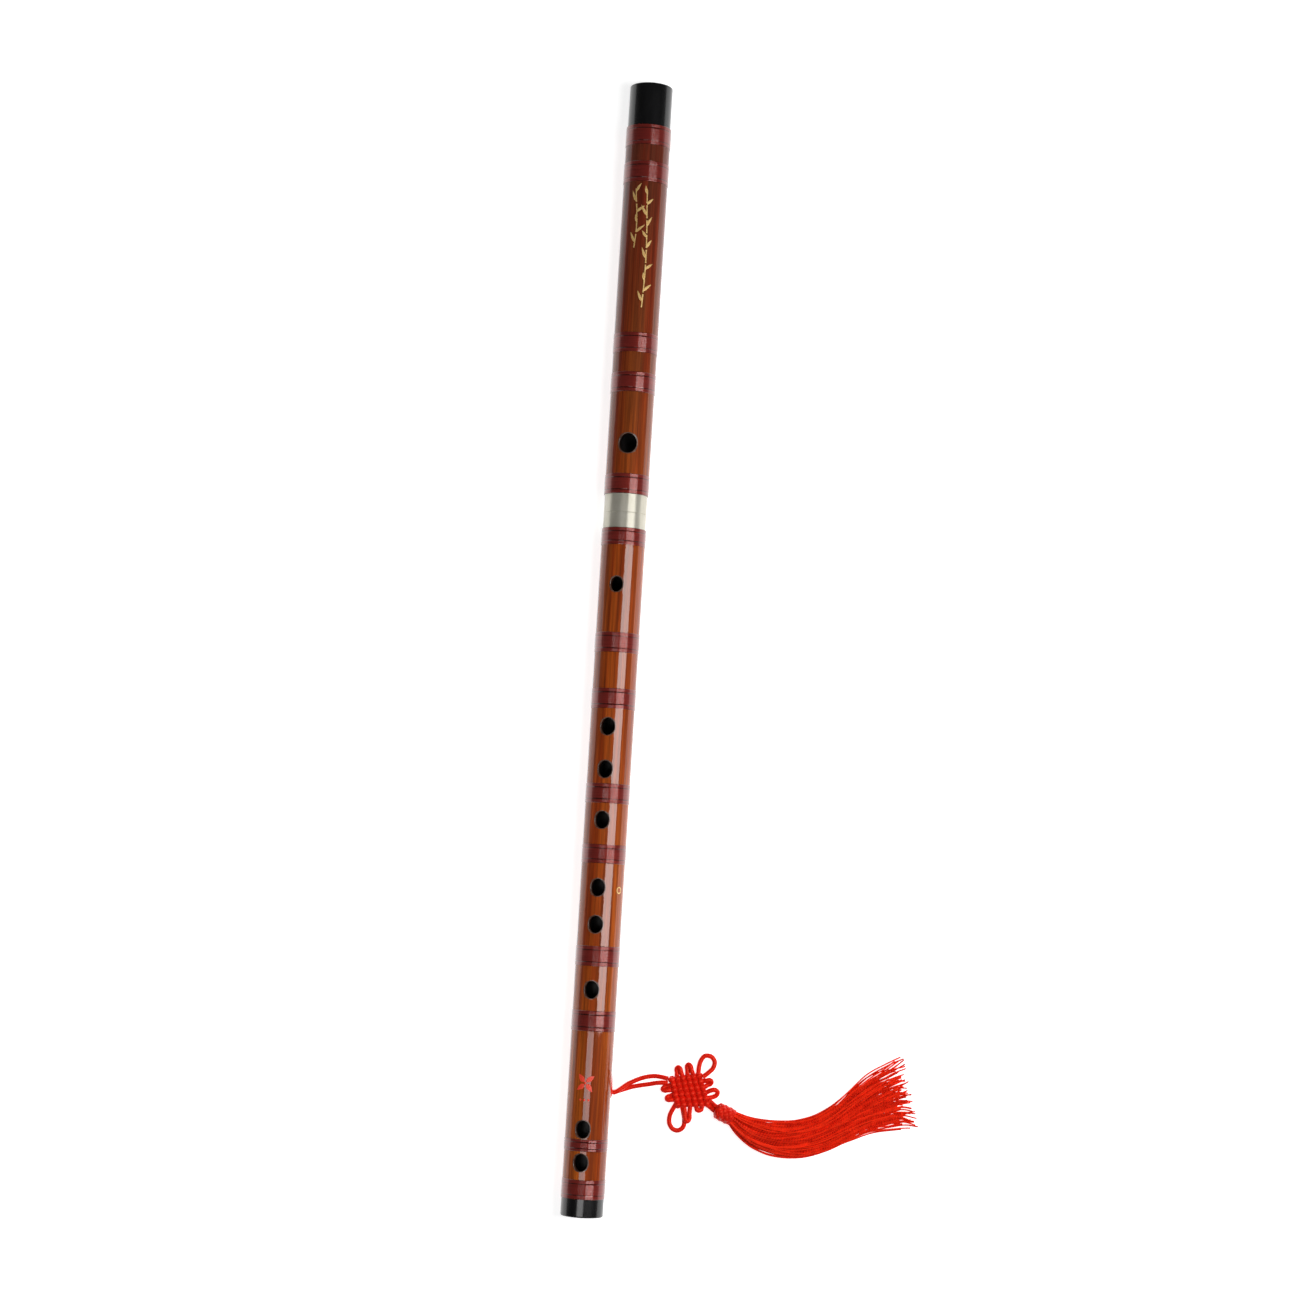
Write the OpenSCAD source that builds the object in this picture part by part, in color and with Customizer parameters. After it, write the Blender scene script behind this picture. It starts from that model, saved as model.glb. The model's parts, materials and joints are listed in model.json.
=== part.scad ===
// Two-section transverse bamboo flute lying on a table, with a knotted cord pendant.
// X runs along the flute from the foot (-X) to the head (+X), Z is up, the pendant lies at -Y.
// The origin is under the middle of the flute, on the surface that it lies on.
// A station is a distance in millimetres from the foot end, measured along the flute.

/* [Bamboo] */
// Length of the whole flute, foot end to head end
flute_l = 655; // [653:0.5:657]
// Radius of the bamboo at the foot
foot_r = 12.25; // [12.15:0.05:12.35]
// Radius of the bamboo at the head
head_r = 13; // [12.9:0.05:13.1]
// Radius of the air bore
bore_r = 9; // [8.9:0.05:9.1]

/* [Holes] */
// Width of the blow hole, across the flute
blow_hole_w = 10; // [9:0.1:10.5]
// Length of the blow hole, along the flute
blow_hole_l = 11.4; // [10:0.1:11.6]
// Width of the membrane hole
membrane_hole_w = 7; // [6:0.1:8]
// Length of the membrane hole
membrane_hole_l = 8.8; // [8:0.1:9]
// Width of a finger hole and of a front end hole
finger_hole_w = 8; // [7:0.1:9]
// Length of a finger hole and of a front end hole
finger_hole_l = 9.8; // [8:0.1:10]
// Diameter of the two rear holes that the cord goes through
cord_hole_d = 5.5; // [5.4:0.1:6]
// Turn of the blow hole from straight up, towards -Y
blow_turn = -4; // [-8:1:8]
// Turn of the front holes of the body section from straight up, towards -Y
front_turn = -11; // [-15:1:0]

/* [End rings] */
// Outer radius of the black ring at the foot
foot_ring_r = 12.15; // [12:0.05:12.3]
// Outer radius of the black ring at the head
head_ring_r = 12.5; // [12.3:0.05:12.7]
// Bore radius of both rings
ring_bore_r = 9.4; // [9.3:0.05:9.6]
// Length of the glued sleeve that each ring has inside the bamboo
ring_sleeve_l = 6; // [4:0.5:7]
// Rounding of each ring's outer end edge
ring_edge = 0.8; // [0.4:0.1:1]

/* [Joint] */
// Outer radius of the two white-metal ferrules
ferrule_r = 12.4; // [12.3:0.05:12.5]
// Inner radius of the socket in the head section
socket_r = 10.6; // [10.5:0.05:10.7]
// Radial running clearance of the tenon in the socket
tenon_gap = 0.06; // [0.02:0.01:0.1]
// Length of the tenon that stands out of the body section
tenon_l = 28; // [26:0.5:28.5]
// Inner radius of the tenon
tenon_bore_r = 9.3; // [9.2:0.05:9.4]

/* [Bindings] */
// How far a binding stands out of the bamboo
binding_proud = 0.3; // [0.1:0.05:0.4]
// Depth of the groove that a binding is wound in
groove_depth = 0.3; // [0.2:0.05:0.4]
// Chamfer at a binding's two edges
binding_edge = 0.15; // [0.05:0.05:0.2]

/* [Pendant] */
// Diameter of the pendant's cord
cord_d = 2.3; // [2.2:0.05:2.35]
// Thickness of the woven part of the knot
knot_h = 5.2; // [4.8:0.1:5.6]
// Width of each small side loop of the knot
side_loop_w = 5; // [4.8:0.1:5.2]
// Largest diameter of the tassel's woven head
tassel_head_d = 10.2; // [9.8:0.1:10.4]

/* [Hidden] */
BINDING_COUNT = 14;
BINDING_NAMES = [for (i = [1:BINDING_COUNT]) str("binding_", i < 10 ? "0" : "", i)];
$fn = 96;

bamboo_colour = "saddlebrown";
binding_colour = "brown";
horn_colour = [0.08, 0.08, 0.08];
metal_colour = "silver";
cork_colour = "burlywood";
cord_colour = "red";

// Stations of the joints between the pieces, from the foot to the head
foot_ring_end = 10.3;
body_tube_end = 393;
seam = 402;
head_tube_start = 412.7;
head_ring_start = 630;

// Start and end station of each binding, numbered from the head to the foot
binding_spans = [
    [618, head_ring_start],
    [596, 608.2],
    [495.5, 507],
    [472.2, 483.9],
    [head_tube_start, 424.4],
    [383, body_tube_end],
    [320.8, 332.3],
    [288.4, 300],
    [234.2, 245.4],
    [199.8, 210.6],
    [141.4, 152.8],
    [104.6, 116.2],
    [37.1, 43.9],
    [foot_ring_end, 21.2]
];
HEAD_BINDINGS = [4, 3, 2, 1, 0];
BODY_BINDINGS = [13, 12, 11, 10, 9, 8, 7, 6, 5];

// Stations of the holes
blow_hole_at = 442;
membrane_hole_at = 360;
finger_holes_at = [278, 253.5, 224.5, 186, 165, 128];
end_holes_at = [49.4, 30.8];
cord_holes_at = [70, 82];
// Turn of the rear holes from straight up, towards -Y
cord_hole_turn = 130;

// Ferrules, tenon and seal
sleeve_wall = 0.6;
sleeve_r = socket_r + sleeve_wall;
socket_depth = 30;
tenon_r = socket_r - tenon_gap;
tenon_skirt_l = 20;
ferrule_edge = 0.25;
seal_start = 409;
seal_l = 6;
seal_groove_depth = 0.6;
seal_gap = 0.04;
seal_end_gap = 0.05;

// Cork stopper
cork_start = 456;
cork_l = 18;
cork_edge = 0.8;

// Radius of the bamboo at a station
function tube_r(s) = foot_r + (head_r - foot_r) * s / flute_l;
function span_mid(b) = (b[0] + b[1]) / 2;
function binding_r(b) = tube_r(span_mid(b)) + binding_proud;
function groove_r(b) = tube_r(span_mid(b)) - groove_depth;
// The flute lies on its widest binding
axis_z = max([for (b = binding_spans) binding_r(b)]);

// Outline steps of one binding groove on a tube from station s0 to station s1
function groove_steps(b, s0, s1) = concat(
    b[0] > s0 ? [[tube_r(b[0]), b[0]]] : [],
    [[groove_r(b), b[0]], [groove_r(b), b[1]]],
    b[1] < s1 ? [[tube_r(b[1]), b[1]]] : []
);
function grooves(numbers, s0, s1) = [for (i = numbers) each groove_steps(binding_spans[i], s0, s1)];

// Rounded edge of a ring, centred at radius r and station s, through the listed angles
function round_edge(r, s, angles) = [
    for (a = angles) [r + ring_edge * cos(a), s + ring_edge * sin(a)]
];

// Places a solid of revolution, whose axis is Z and whose heights are stations, on the flute's axis
module on_axis() {
    translate([-flute_l / 2, 0, axis_z]) rotate([0, 90, 0]) children();
}

module turned(outline) {
    on_axis() rotate_extrude() polygon(outline);
}

// Places a cutter that stands along Z at a station, turned about the flute's axis towards -Y
module at_hole(station, turn) {
    translate([station - flute_l / 2, 0, axis_z]) rotate([turn, 0, 0]) children();
}

module oval_hole(station, turn, w, l) {
    oval = [for (a = [0:7.5:359]) [l / 2 * cos(a), w / 2 * sin(a)]];
    at_hole(station, turn) translate([0, 0, bore_r / 2]) linear_extrude(bore_r) polygon(oval);
}

module round_hole(station, turn, d) {
    at_hole(station, turn) translate([0, 0, bore_r / 2]) cylinder(h = bore_r, d = d);
}

module head_tube() {
    sleeve_end = seam + socket_depth;
    outline = concat(
        grooves(HEAD_BINDINGS, head_tube_start, head_ring_start),
        [[socket_r, head_ring_start], [socket_r, head_ring_start - ring_sleeve_l]],
        [[bore_r, head_ring_start - ring_sleeve_l], [bore_r, sleeve_end]],
        [[sleeve_r, sleeve_end], [sleeve_r, head_tube_start]]
    );
    color(bamboo_colour) difference() {
        turned(outline);
        oval_hole(blow_hole_at, blow_turn, blow_hole_w, blow_hole_l);
    }
}

module body_tube() {
    skirt_start = body_tube_end - tenon_skirt_l;
    sleeve_end = foot_ring_end + ring_sleeve_l;
    outline = concat(
        grooves(BODY_BINDINGS, foot_ring_end, body_tube_end),
        [[socket_r, body_tube_end], [socket_r, skirt_start]],
        [[bore_r, skirt_start], [bore_r, sleeve_end]],
        [[socket_r, sleeve_end], [socket_r, foot_ring_end]]
    );
    color(bamboo_colour) difference() {
        turned(outline);
        oval_hole(membrane_hole_at, front_turn, membrane_hole_w, membrane_hole_l);
        for (s = concat(finger_holes_at, end_holes_at))
            oval_hole(s, front_turn, finger_hole_w, finger_hole_l);
        for (s = cord_holes_at) round_hole(s, cord_hole_turn, cord_hole_d);
    }
}

module head_end_ring() {
    outline = concat(
        [[head_ring_r, head_ring_start]],
        round_edge(head_ring_r - ring_edge, flute_l - ring_edge, [0:15:90]),
        [[ring_bore_r, flute_l], [ring_bore_r, head_ring_start - ring_sleeve_l]],
        [[socket_r, head_ring_start - ring_sleeve_l], [socket_r, head_ring_start]]
    );
    color(horn_colour) turned(outline);
}

module foot_end_ring() {
    outline = concat(
        round_edge(foot_ring_r - ring_edge, ring_edge, [-90:15:0]),
        [[foot_ring_r, foot_ring_end], [socket_r, foot_ring_end]],
        [[socket_r, foot_ring_end + ring_sleeve_l], [ring_bore_r, foot_ring_end + ring_sleeve_l]],
        [[ring_bore_r, 0]]
    );
    color(horn_colour) turned(outline);
}

module cork_stopper() {
    outline = [
        [0, cork_start],
        [bore_r - cork_edge, cork_start],
        [bore_r, cork_start + cork_edge],
        [bore_r, cork_start + cork_l - cork_edge],
        [bore_r - cork_edge, cork_start + cork_l],
        [0, cork_start + cork_l]
    ];
    color(cork_colour) turned(outline);
}

// Band on the head section and the socket tube that it carries into the bamboo
module socket_ferrule() {
    outline = [
        [socket_r, seam],
        [ferrule_r - ferrule_edge, seam],
        [ferrule_r, seam + ferrule_edge],
        [ferrule_r, head_tube_start],
        [sleeve_r, head_tube_start],
        [sleeve_r, seam + socket_depth],
        [socket_r, seam + socket_depth]
    ];
    color(metal_colour) turned(outline);
}

// Band on the body section, its glued skirt, and the tenon with the groove for the seal
module tenon_ferrule() {
    groove_floor = tenon_r - seal_groove_depth;
    outline = [
        [ferrule_r, body_tube_end],
        [ferrule_r, seam - ferrule_edge],
        [ferrule_r - ferrule_edge, seam],
        [tenon_r, seam],
        [tenon_r, seal_start],
        [groove_floor, seal_start],
        [groove_floor, seal_start + seal_l],
        [tenon_r, seal_start + seal_l],
        [tenon_r, seam + tenon_l - ferrule_edge],
        [tenon_r - ferrule_edge, seam + tenon_l],
        [tenon_bore_r, seam + tenon_l],
        [tenon_bore_r, body_tube_end - tenon_skirt_l],
        [socket_r, body_tube_end - tenon_skirt_l],
        [socket_r, body_tube_end]
    ];
    color(metal_colour) turned(outline);
}

// Thin ring that fills the tenon's groove and rubs in the socket
module tenon_seal() {
    inner_r = tenon_r - seal_groove_depth + seal_gap;
    outer_r = socket_r - seal_gap;
    outline = [
        [inner_r, seal_start + seal_end_gap],
        [outer_r, seal_start + seal_end_gap],
        [outer_r, seal_start + seal_l - seal_end_gap],
        [inner_r, seal_start + seal_l - seal_end_gap]
    ];
    color(cork_colour) turned(outline);
}

module binding(i) {
    b = binding_spans[i];
    r = binding_r(b);
    outline = [
        [groove_r(b), b[0]],
        [r - binding_edge, b[0]],
        [r, b[0] + binding_edge],
        [r, b[1] - binding_edge],
        [r - binding_edge, b[1]],
        [groove_r(b), b[1]]
    ];
    color(binding_colour) turned(outline);
}

// Skin over a list of rings, each a closed loop of the same number of points
module skin(rings) {
    n = len(rings[0]);
    last = len(rings) - 1;
    points = [for (ring = rings) each ring];
    walls = [
        for (k = [0:last - 1], i = [0:n - 1])
            let (a = k * n + i, b = k * n + (i + 1) % n)
                each [[a, b, b + n], [a, b + n, a + n]]
    ];
    start_cap = [for (i = [n - 1:-1:0]) i];
    end_cap = [for (i = [0:n - 1]) last * n + i];
    polyhedron(points, concat([start_cap], walls, [end_cap]));
}

function unit(v) = v / norm(v);
function heading(route, i) = unit(route[min(i + 1, len(route) - 1)] - route[max(i - 1, 0)]);
function squared(v, along) = unit(v - along * (v * along));
// Side vectors along a route, carried on from point to point without twist
function side_vectors(route, first, i = 0) =
    let (side = squared(first, heading(route, i)))
        i == len(route) - 1 ? [side] : concat([side], side_vectors(route, side, i + 1));

TUBE_SIDES = 8;
module tube_along(route, first_side, r) {
    sides = side_vectors(route, first_side);
    skin([
        for (i = [0:len(route) - 1])
            let (side = sides[i], up = cross(heading(route, i), side))
                [for (k = [0:TUBE_SIDES - 1])
                    let (a = -360 * k / TUBE_SIDES)
                        route[i] + r * (cos(a) * side + sin(a) * up)]
    ]);
}

// Route of the cord's hitch, from its lower free end to the middle of the loop that goes round
// the pair. Each point is [along the flute from the first rear hole, round the tube, out from
// the flute's axis]. The other half of the hitch mirrors it round the tube, except at the free end.
lower_end = [[0, 0.4, 17], [0, 0.8, 16.2], [0, 1.1, 15], [0, 1.25, 13.5]];
upper_end = [[0, -1.75, 15.2], [0, -1.4, 14.5], [0, -1.25, 13.5]];
hitch_half = [
    [0, 1.25, 11.8],
    [0, 1.25, 10],
    [0.1, 1.25, 8.4],
    [1.1, 1.25, 6.8],
    [3.3, 1.25, 5.7],
    [6, 1.25, 5.4],
    [8.7, 1.25, 5.7],
    [10.9, 1.25, 6.8],
    [11.9, 1.25, 8.4],
    [12, 1.25, 10],
    [12, 1.25, 11.8],
    [11.6, 1.3, 13],
    [10.4, 1.5, 13.7],
    [8, 2.2, 13.7],
    [5, 3.1, 13.4],
    [2, 3.8, 13.2],
    [0, 3.9, 13.1],
    [-1.7, 3.3, 13.3],
    [-2.8, 1.8, 13.6],
    [-3.1, 0, 13.7]
];
function mirrored(p) = [p[0], -p[1], p[2]];
// From the hitch's own coordinates to the flute's
function hitch_place(p) = [
    cord_holes_at[0] - flute_l / 2 + p[0],
    -p[2] * sin(cord_hole_turn) - p[1] * cos(cord_hole_turn),
    axis_z + p[2] * cos(cord_hole_turn) - p[1] * sin(cord_hole_turn)
];
hitch_route = concat(
    lower_end,
    hitch_half,
    [for (i = [len(hitch_half) - 2:-1:0]) mirrored(hitch_half[i])],
    [for (i = [len(upper_end) - 1:-1:0]) upper_end[i]]
);

module cord_hitch() {
    route = [for (p = hitch_route) hitch_place(p)];
    color(cord_colour) tube_along(route, [1, 0, 0], cord_d / 2);
}

// Routes of the two cord runs on the table, from the flute to the knot
strand_a_route = [
    [-257.5, -13.6, 1.8],
    [-257.5, -14.6, 1.7],
    [-257, -16.2, 1.5],
    [-256.2, -18.3, 1.3],
    [-255.2, -21, 1.2],
    [-254.1, -24, 1.2],
    [-252.9, -29, 1.2],
    [-251.9, -34, 1.3],
    [-251, -38, 1.7],
    [-250.6, -41.5, 1.9],
    [-250.5, -44.6, 1.8]
];
strand_b_route = [
    [-257.5, -13.6, 4.7],
    [-257.5, -14.6, 4.6],
    [-256.4, -16.5, 4.2],
    [-254.7, -18.8, 3.4],
    [-252.6, -21.5, 2.5],
    [-251.1, -24.3, 1.7],
    [-249.7, -27.2, 1.2],
    [-248.4, -30.5, 1.2],
    [-247.5, -34, 1.3],
    [-247.1, -37.5, 1.7],
    [-247.4, -41, 2.4],
    [-248, -44.5, 3.2]
];

module cord_strand_a() {
    color(cord_colour) tube_along(strand_a_route, [1, 0, 0], cord_d / 2);
}

module cord_strand_b() {
    color(cord_colour) tube_along(strand_b_route, [1, 0, 0], cord_d / 2);
}

// Corners of the woven part of the knot: where the cord enters, at the upper ear, where the
// cord's ends leave, and at the lower ear
knot_corners = [[-247.5, -45], [-243.5, -63], [-262.3, -70], [-264, -49.5]];
// Each small side loop: [corner that its side starts at, share of the side, reach]
side_loops = [
    [0, 0.34, 6.4],
    [0, 0.66, 7],
    [1, 0.34, 5.8],
    [1, 0.66, 7.4],
    [2, 0.3, 3.6],
    [2, 0.58, 9.6],
    [3, 0.33, 5],
    [3, 0.64, 6.2]
];
side_loop_root = 3;
side_loop_z = [0.3, 4.9];

// One side loop, flat, pulled tight round its own end
module side_loop(corner, share, reach) {
    from = knot_corners[corner];
    along = knot_corners[(corner + 1) % 4] - from;
    place = from + along * share;
    r = side_loop_w / 2;
    outline = concat(
        [[-side_loop_root, -r]],
        [for (a = [-90:15:90]) [reach - r + r * cos(a), r * sin(a)]],
        [[-side_loop_root, r]]
    );
    translate([place[0], place[1], side_loop_z[0]]) rotate([0, 0, atan2(along[1], along[0]) + 90])
        linear_extrude(side_loop_z[1] - side_loop_z[0]) polygon(outline);
}

// Two layers of cord, woven through each other, and the small loops along the four sides
module knot_body() {
    color(cord_colour) {
        linear_extrude(knot_h) polygon(knot_corners);
        for (l = side_loops) side_loop(l[0], l[1], l[2]);
    }
}

// Long ear loops at two opposite corners of the woven part
upper_ear_route = [
    [-247.5, -61, 2.6],
    [-244.2, -61, 2.2],
    [-240.5, -60.6, 1.6],
    [-236.6, -61.9, 1.2],
    [-234, -65, 1.2],
    [-234.2, -68.6, 1.2],
    [-237, -70.7, 1.2],
    [-240.6, -70, 1.5],
    [-243.6, -67.2, 2.1],
    [-246, -64.2, 2.6]
];
lower_ear_route = [
    [-262, -50, 2.6],
    [-264.6, -48.2, 2.1],
    [-268.4, -46.4, 1.5],
    [-272.6, -46.4, 1.2],
    [-275.6, -48.8, 1.2],
    [-276.3, -52.2, 1.2],
    [-274.2, -54.9, 1.2],
    [-270.6, -55.3, 1.4],
    [-266.6, -54.4, 2],
    [-263, -53.4, 2.6]
];

module knot_loops() {
    color(cord_colour) {
        tube_along(upper_ear_route, [0, 0, 1], cord_d / 2);
        tube_along(lower_ear_route, [0, 0, 1], cord_d / 2);
    }
}

// Axis of the tassel's head, from the knot's side to the threads' side
head_start = [-263.5, -72.3];
head_end = [-268, -83];
head_axis_z = tassel_head_d / 2;
head_l = norm(head_end - head_start);
head_turn = atan2(head_start[0] - head_end[0], head_start[1] - head_end[1]);

// The two cord ends, lying against each other, from the knot into the tassel's head
tail_spread = 1.15;
tail_lean = 27;
tail_route = [[-260.2, -68, 2.8], [-261.7, -70.2, 3.2], [-263, -72, 4.4], [-264.2, -74.4, 5.1]];

module knot_tails() {
    color(cord_colour)
        for (side = [-1, 1])
            translate([side * tail_spread, -side * tail_spread * sin(tail_lean), 0])
                tube_along(tail_route, [1, 0, 0], cord_d / 2);
}

// Woven knob: a barrel that is rounded at the knot's side and drawn in where the threads start
module tassel_head() {
    r = tassel_head_d / 2;
    shoulder = 2.6;
    neck_r = 4.4;
    outline = concat(
        [[0, 0]],
        [for (a = [0:15:90]) [r - shoulder * (1 - sin(a)), shoulder * (1 - cos(a))]],
        [[r, head_l - 2.4], [neck_r, head_l], [0, head_l]]
    );
    color(cord_colour)
        translate([head_start[0], head_start[1], head_axis_z])
            rotate([90, 0, -head_turn]) rotate_extrude() polygon(outline);
}

// Middle line, width and height of the bundle of threads, station by station
skirt_stations = [
    [[-267.6, -82.1], 8.6, 8.6],
    [[-272.2, -89], 13.5, 8],
    [[-276, -97.5], 18, 7.4],
    [[-278.2, -108], 21, 7],
    [[-277.8, -120], 22, 6.8],
    [[-274, -132.5], 22, 6.6],
    [[-267.5, -144], 22.5, 6.4],
    [[-260.2, -155], 26, 6.2],
    [[-254, -166], 32, 6],
    [[-249.6, -176], 38, 5.6],
    [[-247.4, -184], 34, 5]
];
SKIRT_SIDES = 20;
skirt_middles = [for (s = skirt_stations) [s[0][0], s[0][1], 0]];

function skirt_ring(k) =
    let (
        along = heading(skirt_middles, k),
        across = cross([0, 0, 1], along),
        half_w = skirt_stations[k][1] / 2,
        half_h = skirt_stations[k][2] / 2,
        mid_z = k == 0 ? head_axis_z : half_h
    )
        [for (i = [0:SKIRT_SIDES - 1])
            let (a = -360 * i / SKIRT_SIDES)
                skirt_middles[k] + across * half_w * cos(a) + [0, 0, mid_z - half_h * sin(a)]];

module tassel_skirt() {
    color(cord_colour) skin([for (k = [0:len(skirt_stations) - 1]) skirt_ring(k)]);
}

head_tube();
head_end_ring();
cork_stopper();
socket_ferrule();
body_tube();
foot_end_ring();
tenon_ferrule();
tenon_seal();
for (i = [0:BINDING_COUNT - 1])
    binding(i);
cord_hitch();
cord_strand_a();
cord_strand_b();
knot_body();
knot_loops();
knot_tails();
tassel_head();
tassel_skirt();
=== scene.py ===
import json
import random
from math import asin, atan2, ceil, cos, floor, pi, radians, sin, sqrt, tau

import bmesh
import bpy
from mathutils import Matrix, Vector, noise


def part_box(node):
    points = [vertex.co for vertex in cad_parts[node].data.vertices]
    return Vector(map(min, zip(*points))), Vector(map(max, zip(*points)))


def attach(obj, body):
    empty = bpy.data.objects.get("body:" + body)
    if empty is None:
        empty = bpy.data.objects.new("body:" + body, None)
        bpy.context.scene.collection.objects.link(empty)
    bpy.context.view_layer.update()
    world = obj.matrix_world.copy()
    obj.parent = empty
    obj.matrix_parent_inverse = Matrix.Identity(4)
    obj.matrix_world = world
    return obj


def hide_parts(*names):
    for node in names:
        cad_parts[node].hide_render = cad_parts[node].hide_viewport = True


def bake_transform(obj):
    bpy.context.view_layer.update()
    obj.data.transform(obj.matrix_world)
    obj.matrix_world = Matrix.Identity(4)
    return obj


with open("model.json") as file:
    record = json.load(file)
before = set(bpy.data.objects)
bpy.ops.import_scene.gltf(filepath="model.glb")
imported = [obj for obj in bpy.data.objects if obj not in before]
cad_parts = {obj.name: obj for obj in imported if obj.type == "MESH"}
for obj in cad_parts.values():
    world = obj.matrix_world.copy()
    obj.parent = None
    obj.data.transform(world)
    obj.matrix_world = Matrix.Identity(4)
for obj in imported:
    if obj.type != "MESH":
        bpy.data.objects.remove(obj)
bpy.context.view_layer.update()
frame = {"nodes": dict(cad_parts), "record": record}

# ---- sizes and places, in metres
MM = 0.001
FOOT_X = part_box("foot_end_ring")[0].x
AXIS_Z = sum(corner.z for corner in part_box("head_end_ring")) / 2
BINDING_PROUD = 0.3 * MM
UP = Vector((0, 0, 1))
BINDINGS = [name for name in sorted(frame["nodes"]) if name.startswith("binding_")]


def span(node):
    """Start station, end station and outer radius of a round node on the flute's axis."""
    low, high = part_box(node)
    return low.x - FOOT_X, high.x - FOOT_X, (high.z - low.z) / 2


FIRST_BINDING = span(BINDINGS[-1])
LAST_BINDING = span(BINDINGS[0])
TAPER_START = (FIRST_BINDING[0] + FIRST_BINDING[1]) / 2
TAPER_END = (LAST_BINDING[0] + LAST_BINDING[1]) / 2
TAPER = (LAST_BINDING[2] - FIRST_BINDING[2]) / (TAPER_END - TAPER_START)


def tube_radius(s):
    """Radius of the bamboo at station s, from the radii of the first and last binding."""
    return FIRST_BINDING[2] - BINDING_PROUD + TAPER * (s - TAPER_START)


BORE_R = 9 * MM
SOCKET_R = 10.6 * MM
SLEEVE_R = 11.2 * MM
RING_SLEEVE = 6 * MM
TENON_SKIRT = 20 * MM
SOCKET_END = 432 * MM
# The scraped skin's wander from round, and its scale along and round the tube
SKIN_WANDER = 0.03 * MM
WANDER_LENGTH = 0.05
WANDER_ROUND = 1.3
# Turns from straight up, towards -Y
FRONT_TURN = radians(-11)
BLOW_TURN = radians(-4)
CORD_TURN = radians(130)
# Holes as (station, half length, half width). The last two of the first list are the front end holes
FINGER_HOLES = [(s * MM, 4.9 * MM, 4 * MM) for s in (278, 253.5, 224.5, 186, 165, 128, 49.4, 30.8)]
MEMBRANE_HOLE = (360 * MM, 4.4 * MM, 3.5 * MM)
BLOW_HOLE = (442 * MM, 5.7 * MM, 5 * MM)
CORD_HOLES = [(s * MM, 2.75 * MM, 2.75 * MM) for s in (70, 82)]
CORD_D = 2.3 * MM


def tube_point(s, turn, r):
    """A point at station s and radius r, turned about the flute's axis from straight up, towards -Y."""
    return Vector((FOOT_X + s, -r * sin(turn), AXIS_Z + r * cos(turn)))


def skin_radius(s, turn):
    """Outer radius of the scraped bamboo, which is never quite round."""
    place = (s / WANDER_LENGTH, WANDER_ROUND * cos(turn), WANDER_ROUND * sin(turn))
    return tube_radius(s) + SKIN_WANDER * noise.noise(Vector(place))


def rgb(r, g, b):
    """A display colour of 0 to 255 as the renderer's linear colour."""
    linear = [c / 255 / 12.92 if c <= 10 else ((c / 255 + 0.055) / 1.055) ** 2.4 for c in (r, g, b)]
    return (*linear, 1)


# ---- meshes
SHARP_ANGLE = radians(40)
BRAID_STRANDS = 5
BRAID_PITCH = 1.5 * MM
BRAID_STEP = 0.3 * MM
BRAID_RELIEF = 0.045


def mesh_piece(name, points, faces, looks, face_looks=None, uvs=None):
    """A smooth mesh object from points and faces, with a material number and UVs for each face if given."""
    mesh = bpy.data.meshes.new(name)
    mesh.from_pydata(points, [], faces)
    for look in looks:
        mesh.materials.append(look)
    if face_looks:
        mesh.polygons.foreach_set("material_index", face_looks)
    if uvs:
        layer = mesh.uv_layers.new(name="along")
        layer.data.foreach_set("uv", [c for face in uvs for uv in face for c in uv])
    bm = bmesh.new()
    bm.from_mesh(mesh)
    bmesh.ops.recalc_face_normals(bm, faces=bm.faces)
    bm.to_mesh(mesh)
    bm.free()
    mesh.polygons.foreach_set("use_smooth", [True] * len(mesh.polygons))
    mesh.set_sharp_from_angle(angle=SHARP_ANGLE)
    piece = bpy.data.objects.new(name, mesh)
    bpy.context.scene.collection.objects.link(piece)
    return piece


def band(a, b, sides):
    """Faces between two rings of vertices, whose first ones are numbered a and b."""
    return [[a + k, a + (k + 1) % sides, b + (k + 1) % sides, b + k] for k in range(sides)]


def smooth_line(points, step):
    """Points about step apart on a smooth curve through the given ones."""
    points = [Vector(p) for p in points]
    ends = [2 * points[0] - points[1], *points, 2 * points[-1] - points[-2]]
    line = []
    for a, b, c, d in zip(ends, ends[1:], ends[2:], ends[3:]):
        count = max(1, round((c - b).length / step))
        for i in range(count):
            t = i / count
            line.append(
                b + (c - a) * t / 2
                + (2 * a - 5 * b + 4 * c - d) * t * t / 2
                + (3 * b - a - 3 * c + d) * t ** 3 / 2
            )
    return line + [points[-1]]


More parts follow.
